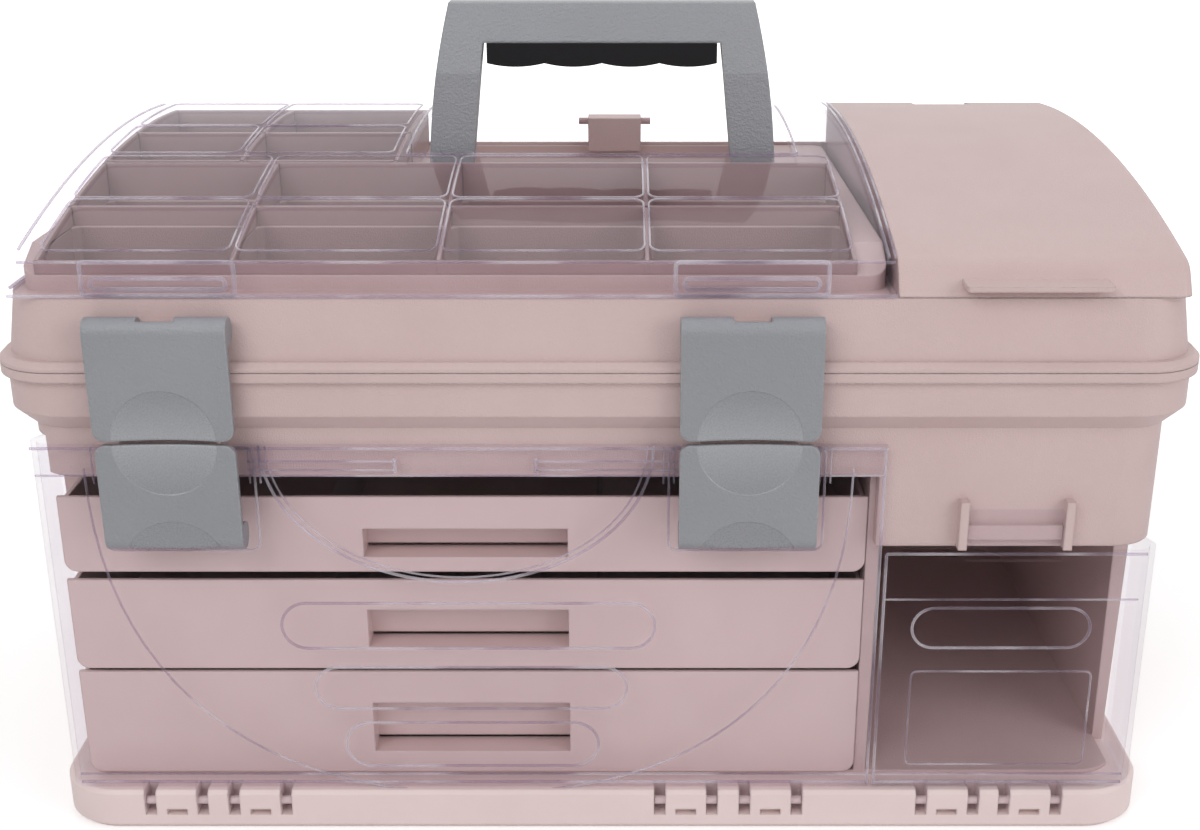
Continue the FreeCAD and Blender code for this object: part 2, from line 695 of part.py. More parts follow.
def door_outline(side, seam_x):
    """The plan of a clear door: flat front, rounded outer corner, skirt round the side."""
    outer = door_side * side
    inner = (door_side - clear_wall) * side
    bend = (door_side - door_corner) * side
    face = -door_face
    back = face + clear_wall
    turn = door_corner * side
    return [(seam_x, face), (bend, face, turn), (outer, face + door_corner), (outer, skirt_end),
            (inner, skirt_end), (inner, face + door_corner, -(turn - clear_wall * side)),
            (bend, back), (seam_x, back)]


def trim_skirt(piece, side, top):
    """Slopes the top of a door's skirt so that it clears the bin as the door swings."""
    corner = -door_face + door_corner
    slope = [(corner, top), (skirt_end, top - skirt_trim), (skirt_end + 1, top - skirt_trim),
             (skirt_end + 1, top + 1), (corner, top + 1)]
    low, high = span(side, door_side + 1, door_side - clear_wall - 1)
    piece.pocket("YZ", slope, low, high, "slope")


def eased(outline):
    """Turns an outline's quarter arcs into two short flats each."""
    points = []
    for index, point in enumerate(outline):
        points.append(point[:2])
        if len(point) == 3:
            x0, y0 = point[:2]
            x1, y1 = outline[(index + 1) % len(outline)][:2]
            turn = ((as_size(x1) - x0).value * (as_size(y1) - y0).value) * as_size(point[2]).value
            if turn > 0:
                middle = (x0, y1)
                reach = (as_size(x1) - x0, as_size(y0) - y1)
            else:
                middle = (x1, y0)
                reach = (as_size(x0) - x1, as_size(y1) - y0)
            share = root(as_size(1) / 2)
            points.append((as_size(middle[0]) + reach[0] * share, as_size(middle[1]) + reach[1] * share))
    return points


def ear_outline():
    """The side view of a hinge ear, from the pivot up to the door's face."""
    face = -door_face
    bottom = base_height + 1
    r = ear_radius
    return eased([(face - r, hinge_level, r), (face, hinge_level - r, r), (face + r, hinge_level),
                  (face + clear_wall, bottom), (face + clear_wall, bottom + 6), (face, bottom + 6),
                  (face - r, bottom + 3)])


def add_ears(piece, hinges):
    for x in hinges:
        for side in (-1, 1):
            middle = x + ear_spread / 2 * side
            piece.pad("YZ", ear_outline(), middle - ear_width / 2, middle + ear_width / 2, "ear")
    ends = ear_spread / 2 + ear_width
    for x in hinges:
        piece.pocket("YZ", octagon(-door_face, hinge_level, trunnion + gap), x - ends,
                     x + ends, "bore")


def lug_outline(y, z, radius, wall_y):
    """A rounded lug that carries a pivot at y, z and starts at a wall behind it."""
    return eased([(wall_y, z - radius), (wall_y, z + radius), (y, z + radius, radius),
                  (y - radius, z, radius), (y, z - radius)])


def add_latch_pivot(piece, x, level, wall_y):
    """A lug on a wall, with a pin out of each side for a latch."""
    lug = lug_outline(-latch_pivot, level, lug_radius, wall_y)
    piece.pad("YZ", lug, x - lug_width / 2, x + lug_width / 2, "lug")
    piece.pad("YZ", disc(-latch_pivot, level, latch_pin), x - lug_offset, x + lug_offset, "pin")


def build_front_door():
    """The clear door before the drawers, hinged at the base."""
    piece = Piece("front_door")
    right = parting_x - seam / 2
    piece.pad("XY", door_outline(-1, right), base_height + 0.5, door_top)
    trim_skirt(piece, -1, door_top)
    add_ears(piece, front_hinges)
    for x in (latch_left, latch_right):
        add_latch_pivot(piece, x, door_pivot_level, -door_face)
    return piece


def build_side_door():
    """The clear door of the side compartment, with the hook that holds it shut."""
    piece = Piece("side_door")
    left = parting_x + seam / 2
    piece.pad("XY", door_outline(1, left), base_height + 0.5, side_door_top)
    trim_skirt(piece, 1, side_door_top)
    add_ears(piece, side_hinges)
    x = (hook_x - hook_width / 2, hook_x + hook_width / 2)
    piece.pad("XZ", rectangle(x, (side_door_top - 4, hook_top)), -door_face - clear_wall,
              -door_face, "hook")
    piece.pad("XZ", rectangle(x, (bar_top + gap, hook_top)), -door_face, -door_face + 2, "lip")
    return piece


def latch_outline(low, high, pivot, top):
    """The side view of a latch plate with the boss round its pivot."""
    face = -latch_face
    back = face + latch_plate
    r = latch_face - latch_pivot
    if top:
        return [(face, low), (back, low), (back, pivot - r), (-latch_pivot, pivot - r, r),
                (r - latch_pivot, pivot, r), (-latch_pivot, pivot + r, r), (face, pivot)]
    return [(face, high), (face, pivot, r), (-latch_pivot, pivot - r, r),
            (r - latch_pivot, pivot, r), (-latch_pivot, pivot + r), (back, pivot + r), (back, high)]


def build_latch(name, x, low, high, pivot, top):
    """A rocking latch: a plate with finger scoops, a pivot boss and a hook rib behind."""
    piece = Piece(name)
    half = latch_width / 2
    piece.pad("YZ", latch_outline(low, high, pivot, top), x - half, x + half)
    piece.fillet(latch_corner, both(along_y, at_height(low if top else high)), "corner")
    back = -latch_face + latch_plate
    r = latch_face - latch_pivot
    reach = lug_width / 2 + gap
    slot = rectangle((back, -latch_pivot + r + 1), (pivot - r - 1, pivot + r + 1))
    piece.pocket("YZ", slot, x - reach, x + reach, "slot")
    reach = lug_offset + gap
    piece.pocket("YZ", octagon(-latch_pivot, pivot, latch_pin + gap), x - reach, x + reach,
                 "bore")
    hook = low + latch_hook if top else high - latch_hook
    piece.pad("YZ", rectangle((back, -catch_face - gap), (hook - 2, hook + 2)),
              x - hook_half, x + hook_half, "hook")
    end = low if top else high
    spread = scoop_width / 2
    ball = (spread * spread + scoop_depth * scoop_depth) / (scoop_depth * 2)
    piece.dish(x, scoop_depth - latch_face - ball, end, ball, "scoop")
    if not top:
        piece.dish(x, scoop_depth - latch_face - ball, low - heel_drop, ball, "heel")
    return piece


def arch_level(y, drop):
    """Height of the covers' arch at y, less a drop measured along the radius."""
    radius = arch_radius - drop
    away = y - arch_place
    return arch_top - arch_radius + root(radius * radius - away * away)


def cover_outline(drop):
    """The side view of the covers, or of their inside when drop is the wall."""
    front = -cover_front + drop
    back = cover_back - drop
    low = band_top + gap if drop.value == 0 else band_top - 1
    skirt = -cover_skirt + drop
    return [(skirt, low), (back, low), (back, arch_level(back, drop), arch_radius - drop),
            (front, arch_level(front, drop))]


def cover_solid(piece, x0, x1, left_round):
    """The arched shell between two places along X."""
    none = as_size(0)
    piece.pad("YZ", cover_outline(none), x0, x1)
    low = x0 if left_round else x1
    piece.fillet(brow_radius, both(along_x, nearer_y(-cover_front)), "brow")
    piece.fillet(cover_round, both(near_x(low), above(band_top + 1), not_at_back), "end")
    inner0 = x0 + clear_wall
    inner1 = x1 - clear_wall
    open0 = inner0 if left_round else x0 - 1
    open1 = x1 + 1 if left_round else inner1
    piece.pocket("YZ", cover_outline(clear_wall), inner0, inner1, "inside")
    piece.pocket("XZ", rectangle((open0, open1), (band_top - 1, rear_rim + gap)),
                 cover_back - clear_wall * 2, cover_back + 1, "rear")


def near_x(place):
    """Picks edges that lie in an upright plane at a place along X."""
    def pick(edge):
        box = edge.BoundBox
        return abs(box.XMin - place.value) < NEAR and abs(box.XMax - place.value) < NEAR
    return pick


def nearer_y(place):
    """Picks edges at a place along Y."""
    def pick(edge):
        box = edge.BoundBox
        return abs(box.YMin - place.value) < NEAR and abs(box.YMax - place.value) < NEAR
    return pick


def not_at_back(edge):
    """Leaves out the edges of the covers' rear face."""
    return edge.BoundBox.YMin < cover_back.value - NEAR


def above(level):
    """Picks edges that lie wholly above a level."""
    return lambda edge: edge.BoundBox.ZMin > level.value


def build_top_cover():
    """The clear arched cover over the tray, with the opening for the handle."""
    piece = Piece("top_cover")
    right = parting_x - gap
    cover_solid(piece, -cover_half, right, True)
    well = rectangle((-well_half, well_half), (well_front, well_back), 8)
    piece.pocket("XY", well, rear_rim + 1, arch_top + 5, "well")
    add_cover_ears(piece, knuckle_x)
    for x in (latch_left, latch_right):
        add_tab(piece, x)
    return piece


def add_tab(piece, x):
    """A thumb tab that stands out from a cover's front."""
    tab = rectangle((x - tab_width / 2, x + tab_width / 2), (-tab_face, -cover_skirt + tab_root), 1.5)
    piece.pad("XY", tab, tab_level, tab_level + clear_wall, "tab")


def add_cover_ears(piece, x):
    """Two ears on a cover's rear wall, and the notch between them for the lid's knuckle."""
    half = knuckle_width / 2
    reach = half + gap * 2 + cover_ear
    notch = rectangle((x - half - gap, x + half + gap), (rear_rim - 1, arch_top + 1))
    piece.pocket("XZ", notch, cover_back - knuckle_depth, cover_back + 1, "notch")
    for side in (-1, 1):
        near = half + gap
        low, high = span(side, near + cover_ear, near)
        arm = eased([(cover_back - clear_wall, cover_axis_level - cover_barrel),
                     (cover_axis, cover_axis_level - cover_barrel, cover_barrel),
                     (cover_axis + cover_barrel, cover_axis_level, cover_barrel),
                     (cover_axis, cover_axis_level + cover_barrel),
                     (cover_back - clear_wall, cover_axis_level + cover_barrel)])
        piece.pad("YZ", arm, x + low, x + high, "ear")
    piece.pocket("YZ", octagon(cover_axis, cover_axis_level, trunnion + gap), x - reach,
                 x + reach, "bore")


def build_right_lid():
    """The opaque lid over the compartment at the right."""
    piece = Piece("right_lid")
    left = parting_x + gap
    cover_solid(piece, left, cover_half, False)
    add_cover_ears(piece, right_knuckle_x)
    add_tab(piece, hook_x)
    return piece


def cut_corners(x0, x1, y0, y1, cut):
    """A rectangle with its corners cut."""
    x0, x1, y0, y1 = [as_size(value) for value in (x0, x1, y0, y1)]
    return [(x0 + cut, y0), (x1 - cut, y0), (x1, y0 + cut), (x1, y1 - cut),
            (x1 - cut, y1), (x0 + cut, y1), (x0, y1 - cut), (x0, y0 + cut)]


def build_main_lid():
    """The lid: bead and band outside, the tray with its cells, the handle recess, the well."""
    piece = Piece("main_lid")
    far = rim_width / 2
    deep = rim_depth / 2
    bead_top = rim_level + bead_half
    bead = rectangle((-far, far), (-deep, deep), rim_corner)
    piece.pad("XY", bead, rim_level + gap, bead_top, "bead")
    piece.chamfer(bead_step, at_height(bead_top), "bead_bevel")
    band_x = far - bead_step - 2
    band_y = deep - bead_step - 2
    band = rectangle((-band_x, band_x), (-band_y, band_y), rim_corner - 2)
    piece.pad("XY", band, bead_top, band_top, "band", draft=-band_lean)
    block = rectangle((-cover_half + clear_wall + 2, parting_x - wall),
                      (-cover_front + clear_wall + 1, cover_back - clear_wall - 1), 8)
    piece.pad("XY", block, band_top, tray_top, "tray")
    slope = [(-cover_front, tray_top - tray_fall), (tray_fall * 2 - cover_front, tray_top),
             (tray_fall * 2 - cover_front, tray_top + 1), (-cover_front, tray_top + 1)]
    piece.pocket("YZ", slope, -cover_half, parting_x, "slope")
    inset = wall + 3
    under = rectangle((-band_x + inset, band_x - inset), (-band_y + inset, band_y - inset),
                      rim_corner - inset)
    piece.pocket("XY", under, rim_level, lid_plate, "underside")
    lightened = rectangle((-well_half, parting_x - wall * 2), (well_front, well_back))
    piece.pocket("XY", lightened, rim_level, recess_floor - wall, "lightened")
    cells = []
    half = tray_wall / 2
    for places, rows in ((column_places, (row_one, row_two)), (rear_columns, (row_three, row_four))):
        for x0, x1 in zip(places, places[1:]):
            for y0, y1 in rows:
                cells.append(cut_corners(x0 + half, x1 - half, y0, y1, cell_corner))
    for cell in cells:
        piece.pocket("XY", cell, tray_floor, tray_top + 1, "cell")
    recess = rectangle((-well_half, well_half), (well_front, cover_back - clear_wall - wall), 6)
    piece.pocket("XY", recess, recess_floor, tray_top + 1, "recess")
    well = rectangle((parting_x + wall, cover_half - wall * 2), (-cover_front, cover_front), 10)
    piece.pocket("XY", well, well_floor, band_top + 1, "well")
    rear = rectangle((-cover_half + clear_wall + gap * 2, cover_half - clear_wall - gap * 2),
                     (cover_back - clear_wall, cover_back))
    piece.pad("XY", rear, band_top, rear_rim, "rear")
    for side in (-1, 1):
        low, high = span(side, well_half, handle_foot - 6)
        piece.pad("YZ", disc(pivot_y, pivot_level, handle_trunnion), low, high, "pivot")
    for x in (knuckle_x, right_knuckle_x):
        add_cover_knuckle(piece, x)
    for x in lid_hinges:
        own = x + (barrel_width + gap) / 2
        add_barrel(piece, own, own - barrel_width - gap, rim_level + gap, bead_top)
        piece.pocket("YZ", octagon(lid_axis, rim_level, trunnion + gap), x - gap, own + barrel_width,
                     "bore")
    for x in (latch_left, latch_right):
        add_latch_pivot(piece, x, lid_pivot_level, -band_y + 6)
    return piece


def add_cover_knuckle(piece, x):
    """A block on the lid's rear rim that carries a cover's trunnions."""
    half = knuckle_width / 2
    block = eased([(cover_back - knuckle_depth + 1, rear_rim - 4), (cover_back, rear_rim - 4),
                   (cover_axis, cover_axis_level - cover_barrel, cover_barrel),
                   (cover_axis + cover_barrel, cover_axis_level, cover_barrel),
                   (cover_axis, cover_axis_level + cover_barrel),
                   (cover_back - knuckle_depth + 1, cover_axis_level + cover_barrel)])
    piece.pad("YZ", block, x - half, x + half, "knuckle")
    reach = half + gap + cover_ear
    piece.pad("YZ", disc(cover_axis, cover_axis_level, trunnion), x - reach, x + reach, "trunnion")


def add_barrel(piece, x, partner, low, high):
    """A barrel of the lid's hinge between two levels, and the gap for its partner's barrel."""
    half = barrel_width / 2
    near = lid_axis - lid_barrel - gap * 2
    notch = rectangle((partner - half - gap, partner + half + gap), (near, lid_axis + lid_barrel))
    piece.pocket("XY", notch, rim_level - lid_barrel - 1, rim_level + lid_barrel + 1, "gap")
    piece.pad("YZ", disc(lid_axis, rim_level, lid_barrel), x - half, x + half, "barrel")
    web = rectangle((near - 3, lid_axis), (low, high))
    piece.pad("YZ", web, x - half, x + half, "web")


def span(side, outer, inner):
    """The stretch between two distances from the middle, on one side."""
    if side > 0:
        return inner, outer
    return -outer, -inner


def handle_side_view():
    """The bent side view of the handle, round at the pivot."""
    half = handle_thick / 2
    low = handle_bend - pivot_level
    high = handle_top - handle_bend
    knee = pivot_y + low * tan(lower_lean)
    head = knee + high * tan(upper_lean)
    return [(pivot_y - half, pivot_level, half), (pivot_y, pivot_level - half, half),
            (pivot_y + half, pivot_level), (knee + half, handle_bend), (head + half, handle_top),
            (head - half, handle_top), (knee - half, handle_bend)]


def build_handle_frame():
    """The arched carrying handle."""
    piece = Piece("handle_frame")
    piece.pad("YZ", handle_side_view(), -handle_foot, handle_foot)
    foot = pivot_level - handle_thick
    front = pivot_y - handle_thick
    back = pivot_y + handle_thick * 4
    opening = [(-opening_foot, foot), (opening_foot, foot), (opening_head, bar_low),
               (-opening_head, bar_low)]
    piece.pocket("XZ", opening, front, back, "opening")
    above_top = handle_top + 1
    for side in (-1, 1):
        outer = (handle_foot + 5) * side
        wedge = [(handle_foot * side, foot, handle_side * side), (handle_head * side, above_top),
                 (outer, above_top), (outer, foot)]
        piece.pocket("XZ", wedge, front, back, "side")
    piece.pocket("YZ", octagon(pivot_y, pivot_level, handle_trunnion + gap), -handle_foot - 1,
                 handle_foot + 1, "bore")
    return piece


def build_handle_grip():
    """The soft grip under the handle's bar, with finger waves."""
    piece = Piece("handle_grip")
    middle = pivot_y + (handle_bend - pivot_level) * tan(lower_lean) \
        + (bar_low - handle_bend) / 2 * tan(upper_lean)
    pitch = grip_half * 2 / grip_bumps
    waves = []
    for bump in range(grip_bumps):
        start = -grip_half + pitch * bump
        waves.append((start, grip_low + 2, wave_radius))
    outline = waves + [(grip_half, grip_low + 2), (grip_half, bar_low), (-grip_half, bar_low)]
    piece.pad("XZ", outline, middle - grip_thick / 2, middle + grip_thick / 2)
    return piece


def divider_places():
    """Where the loose dividers stand in each drawer."""
    width = bay_right - bay_left
    return [bay_left + width * (index + 1) / (divider_count + 1) for index in range(divider_count)]


pieces = [build_base(), build_cabinet(), build_bin()]
for name, low, high in drawer_levels:
    pieces.append(build_drawer(name, low, high, *grip_levels[name]))
    for index, x in enumerate(divider_places()):
        pieces.append(build_divider("%s_divider_%d" % (name, index + 1), x, low, high))
pieces.append(build_front_door())
pieces.append(build_side_door())
for side, x in (("left", latch_left), ("right", latch_right)):
    pieces.append(build_latch("lid_latch_" + side, x, lid_latch_low, lid_latch_high,
                              lid_pivot_level, True))
    pieces.append(build_latch("door_latch_" + side, x, door_latch_low, door_latch_high,
                              door_pivot_level, False))
pieces += [build_main_lid(), build_top_cover(), build_right_lid(), build_handle_frame(),
           build_handle_grip()]
doc.recompute()

for item in doc.Objects:
    if "Invalid" in item.State or "Error" in item.State:
        raise RuntimeError("%s failed: %s" % (item.Name, item.getStatusString()))
os.makedirs("parts", exist_ok=True)
for piece in pieces:
    shape = piece.body.Shape
    if shape.isNull() or not shape.isValid() or len(shape.Solids) != 1:
        raise RuntimeError("%s is not one valid solid: %d" % (piece.name, len(shape.Solids)))
for piece in pieces:
    piece.body.Shape.exportStep("parts/%s.step" % piece.name)
    print(piece.name, round(piece.body.Shape.Volume))
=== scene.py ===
import math
import bpy
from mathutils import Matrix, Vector


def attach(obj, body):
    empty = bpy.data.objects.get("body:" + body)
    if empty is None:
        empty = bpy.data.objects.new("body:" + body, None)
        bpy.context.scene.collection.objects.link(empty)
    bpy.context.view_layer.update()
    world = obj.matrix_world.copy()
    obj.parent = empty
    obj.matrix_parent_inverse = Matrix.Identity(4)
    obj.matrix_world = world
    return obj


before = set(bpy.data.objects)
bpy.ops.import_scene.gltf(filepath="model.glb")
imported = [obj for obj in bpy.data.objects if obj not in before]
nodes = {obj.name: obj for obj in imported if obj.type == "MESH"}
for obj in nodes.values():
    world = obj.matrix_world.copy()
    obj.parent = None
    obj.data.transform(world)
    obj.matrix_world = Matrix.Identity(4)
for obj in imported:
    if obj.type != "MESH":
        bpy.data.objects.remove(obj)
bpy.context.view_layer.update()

MM = 0.001


# Shader maths

class Wire:
    """A node's socket. Arithmetic on it adds Math nodes to the finish it belongs to."""

    def __init__(self, finish, socket):
        self.finish = finish
        self.socket = socket

    def maths(self, operation, *values):
        return self.finish.add("ShaderNodeMath", {"operation": operation}, dict(enumerate(values)))

    def __add__(self, other):
        return self.maths("ADD", self, other)

    def __radd__(self, other):
        return self.maths("ADD", other, self)

    def __sub__(self, other):
        return self.maths("SUBTRACT", self, other)

    def __rsub__(self, other):
        return self.maths("SUBTRACT", other, self)

    def __mul__(self, other):
        return self.maths("MULTIPLY", self, other)

    def __rmul__(self, other):
        return self.maths("MULTIPLY", other, self)

    def __truediv__(self, other):
        return self.maths("DIVIDE", self, other)

    def __pow__(self, other):
        return self.maths("POWER", self, other)


class Finish:
    """One material, built node by node."""

    def __init__(self, name):
        self.material = bpy.data.materials.new(name)
        self.material.use_nodes = True
        self.tree = self.material.node_tree
        self.tree.nodes.clear()

    def add(self, kind, settings=None, values=None, out=0):
        """Adds a node, applies its settings, fills its sockets and gives one output."""
        node = self.tree.nodes.new(kind)
        for key, value in (settings or {}).items():
            if key == "stops":
                for stop, (place, colour) in zip(node.color_ramp.elements, value):
                    stop.position = place
                    stop.color = colour
            else:
                setattr(node, key, value)
        for key, value in (values or {}).items():
            if isinstance(value, Wire):
                self.tree.links.new(value.socket, node.inputs[key])
            else:
                node.inputs[key].default_value = value
        return Wire(self, node.outputs[out]) if len(node.outputs) else None

    def place(self):
        """Where a point is on its piece, in metres."""
        return self.add("ShaderNodeTexCoord", out="Object")

    def clouds(self, scale, detail=2.0, roughness=0.5, where=None):
        """Soft noise from 0 to 1; scale counts its features per metre."""
        return self.add("ShaderNodeTexNoise", None,
                        {"Vector": where or self.place(), "Scale": scale, "Detail": detail,
                         "Roughness": roughness})

    def pebbles(self, scale, feature="F1", where=None):
        """Cells like a spark-eroded mould's grain."""
        return self.add("ShaderNodeTexVoronoi", {"feature": feature},
                        {"Vector": where or self.place(), "Scale": scale}, out="Distance")

    def between(self, share, low, high):
        """A colour from low to high."""
        return self.add("ShaderNodeMix", {"data_type": "RGBA"}, {0: share, 6: low, 7: high}, out=2)

    def range(self, value, low, high, to_low=0.0, to_high=1.0):
        """Maps low..high to to_low..to_high and clamps the result."""
        return self.add("ShaderNodeMapRange", None,
                        {0: value, 1: low, 2: high, 3: to_low, 4: to_high})

    def relief(self, height, depth, round_edges=None):
        """Bumps of a real depth in metres, over corners rounded to a radius where one is given."""
        values = {"Height": height, "Distance": depth}
        if round_edges:
            values["Normal"] = self.add("ShaderNodeBevel", {"samples": 4}, {"Radius": round_edges})
        return self.add("ShaderNodeBump", None, values)

    def edges(self, sharp=0.8, blunt=0.99):
        """Rises beside corners, where a finish paints a lighter colour; the two limits are cosines of
        the turn.
        """
        rounded = self.add("ShaderNodeBevel", {"samples": 4}, {"Radius": 0.001})
        facing = self.add("ShaderNodeNewGeometry", out="Normal")
        turned = self.add("ShaderNodeVectorMath", {"operation": "DOT_PRODUCT"},
                          {0: rounded, 1: facing}, out="Value")
        return self.range(turned, sharp, blunt, 1.0, 0.0)

    def done(self, surface):
        self.add("ShaderNodeOutputMaterial", None, {"Surface": surface})
        return self.material


def flat(red, green, blue):
    return (red, green, blue, 1.0)


# Finishes

def tray_shade_share(skin):
    """1 inside the tray under the clear cover, whose cells get a darker rose painted as shade."""
    inside = 1.0
    for axis, low, high in (("X", -0.2505, 0.1145), ("Y", -0.1252, 0.1222), ("Z", 0.2495, 0.2862)):
        where = skin.add("ShaderNodeSeparateXYZ", None, {0: skin.place()}, out=axis)
        inside = skin.range(where, low - 0.0002, low + 0.0002) * inside
        inside = skin.range(where, high - 0.0002, high + 0.0002, 1.0, 0.0) * inside
    return inside


def rose_plastic(name, colour, pale, grain, gloss, tray=None):
    """Moulded dusty-rose polypropylene with a satin, finely grained skin."""
    skin = Finish(name)
    drift = skin.clouds(9.0, 3.0)
    flow = skin.clouds(38.0, 2.0)
    mottle = skin.range(drift * 0.6 + flow * 0.4, 0.35, 0.65)
    base = skin.between(mottle, colour, pale)
    # The tray's cells get the tray colour as painted shade.
    if tray:
        base = skin.between(tray_shade_share(skin), base, tray)
    # Corners get a paler rose painted as a highlight.
    edge_highlight = skin.between(skin.edges() * 0.35, base, flat(0.74, 0.62, 0.60))
    fine = skin.clouds(1900.0, 2.0, 0.6)
    cells = skin.pebbles(1300.0)
    height = fine * 0.55 + cells * 0.45
    rough = skin.range(drift * 0.5 + fine * 0.5, 0.3, 0.7, gloss - 0.05, gloss + 0.07)
    shader = skin.add("ShaderNodeBsdfPrincipled", None,
                      {"Base Color": edge_highlight, "Roughness": rough, "IOR": 1.49,
                       "Subsurface Weight": 0.0,
                       "Normal": skin.relief(height, grain, 0.0013)})
    return skin.done(shader)


def scoop_share(skin):
    """1 inside the latches' smooth finger scoops and 0 on the grained plastic round them."""
    across = skin.add("ShaderNodeSeparateXYZ", None, {0: skin.place()}, out="X")
    level = skin.add("ShaderNodeSeparateXYZ", None, {0: skin.place()}, out="Z")
    aside = (across + 0.0627).maths("ABSOLUTE", across + 0.0627) - 0.1298
    from_gap = level - 0.20755
    upper = (from_gap.maths("ABSOLUTE", from_gap) - 0.00105).maths(
        "MAXIMUM", from_gap.maths("ABSOLUTE", from_gap) - 0.00105, 0.0)
    lower = level - 0.1464
    reach_upper = (aside * aside + upper * upper) ** 0.5
    reach_lower = (aside * aside + lower * lower) ** 0.5
    nearest = reach_upper.maths("MINIMUM", reach_upper, reach_lower)
    return skin.range(nearest, 0.0232, 0.0237, 1.0, 0.0)


def grey_plastic(name, colour, dark, scoops=False):
    """Silver-grey moulded plastic with metal flake and a leathery grain."""
    skin = Finish(name)
    drift = skin.clouds(14.0, 3.0)
    flake = skin.pebbles(2600.0)
    sparkle = skin.range(flake, 0.05, 0.28, 1.0, 0.0)
    base = skin.between(drift, dark, colour)
    shown = skin.between(sparkle * 0.35, base, flat(0.52, 0.53, 0.56))
    # Corners and the scoops' rims get a lighter grey painted as a highlight.
    painted_highlights = skin.between(skin.edges(0.985, 0.9992) * 0.4, shown, flat(0.60, 0.61, 0.64))
    leather = skin.clouds(1150.0, 3.0, 0.65)
    cells = skin.pebbles(780.0, "SMOOTH_F1")
    height = leather * 0.6 + cells * 0.4
    rough = skin.range(leather, 0.3, 0.7, 0.36, 0.48)
    if scoops:
        smooth = scoop_share(skin)
        height = height * (1.0 - smooth)
        rough = rough - smooth * 0.14
        # The scoops get a painted highlight, lighter near 0.2076 m up and darker away from it.
        level = skin.add("ShaderNodeSeparateXYZ", None, {0: skin.place()}, out="Z")
        away = skin.range((level - 0.2076).maths("ABSOLUTE", level - 0.2076), 0.0, 0.022)
        scoop_painted_highlight = skin.between(away, flat(0.36, 0.365, 0.385), flat(0.255, 0.26, 0.28))
        painted_highlights = skin.between(smooth * 0.8, painted_highlights, scoop_painted_highlight)
    shader = skin.add("ShaderNodeBsdfPrincipled", None,
                      {"Base Color": painted_highlights, "Roughness": rough, "Metallic": sparkle * 0.25 + 0.15,
                       "IOR": 1.5, "Normal": skin.relief(height, 0.0005, 0.0018)})
    return skin.done(shader)


def clear_plastic(name, tint, body, haze):
    """Clear styrene: it lets light through, mirrors at a slant, and turns violet at its edges."""
    skin = Finish(name)
    turned = skin.add("ShaderNodeLayerWeight", None, {"Blend": 0.5}, out="Facing")
    smear = skin.range(skin.clouds(60.0, 4.0, 0.6), 0.5, 0.8, 0.0, haze)
    ripple = skin.relief(skin.clouds(16.0, 1.0), 0.0008)
    through = skin.add("ShaderNodeBsdfTransparent", None, {"Color": tint})
    edge = skin.add("ShaderNodeBsdfPrincipled", None,
                    {"Base Color": body, "Roughness": 0.12, "IOR": 1.58})
    mirror = skin.add("ShaderNodeBsdfPrincipled", None,
                      {"Base Color": flat(1.0, 1.0, 1.0), "Metallic": 1.0, "Roughness": 0.05,
                       "Normal": ripple})
    tinted = skin.add("ShaderNodeMixShader", None,
                      {0: turned ** 8.0 * 0.45 + smear + 0.002, 1: through, 2: edge})
    slant = skin.add("ShaderNodeFresnel", None, {"IOR": 1.22})
    mixed = skin.add("ShaderNodeMixShader", None, {0: slant * 0.10, 1: tinted, 2: mirror})
    return skin.done(mixed)


def black_rubber(name):
    """Soft black over-moulding with a fine matt skin."""
    skin = Finish(name)
    drift = skin.clouds(40.0, 3.0)
    fine = skin.clouds(2400.0, 2.0)
    base = skin.between(drift, flat(0.006, 0.0055, 0.0065), flat(0.015, 0.0135, 0.0155))
    # Corners are painted a lighter black.
    edge_lightened = skin.between(skin.edges() * 0.25, base, flat(0.05, 0.047, 0.05))
    shader = skin.add("ShaderNodeBsdfPrincipled", None,
                      {"Base Color": edge_lightened, "Roughness": skin.range(drift, 0.3, 0.7, 0.6, 0.75),
                       "Specular IOR Level": 0.2, "Normal": skin.relief(fine, 0.00012)})
    return skin.done(shader)


rose = rose_plastic("rose_plastic", flat(0.575, 0.432, 0.420), flat(0.605, 0.462, 0.450), 0.00025, 0.42)
# A darker rose painted as shade in the tray's cells, on the lid and on the crest walls.
TRAY_SHADE_ROSE = flat(0.40, 0.275, 0.275)
rose_lid = rose_plastic("rose_lid_plastic", flat(0.575, 0.432, 0.420), flat(0.605, 0.462, 0.450),
                        0.00025, 0.42, tray=TRAY_SHADE_ROSE)
tray_shade_rose = rose_plastic("rose_tray_plastic_painted_shade", TRAY_SHADE_ROSE, flat(0.43, 0.30, 0.30), 0.00006, 0.36)
rose_smooth = rose_plastic("rose_satin_plastic", flat(0.695, 0.540, 0.520), flat(0.725, 0.570, 0.550),
                           0.00004, 0.36)
rose_deep = rose_plastic("rose_base_plastic", flat(0.79, 0.645, 0.63), flat(0.82, 0.675, 0.66),
                         0.00008, 0.40)
silver = grey_plastic("silver_grey_plastic", flat(0.300, 0.306, 0.328), flat(0.250, 0.255, 0.275),
                      scoops=True)
silver_handle = grey_plastic("silver_handle_plastic", flat(0.310, 0.316, 0.340),
                             flat(0.265, 0.27, 0.29))
clear = clear_plastic("clear_styrene", flat(0.975, 0.966, 0.978), flat(0.60, 0.53, 0.60), 0.006)
rubber = black_rubber("black_rubber")


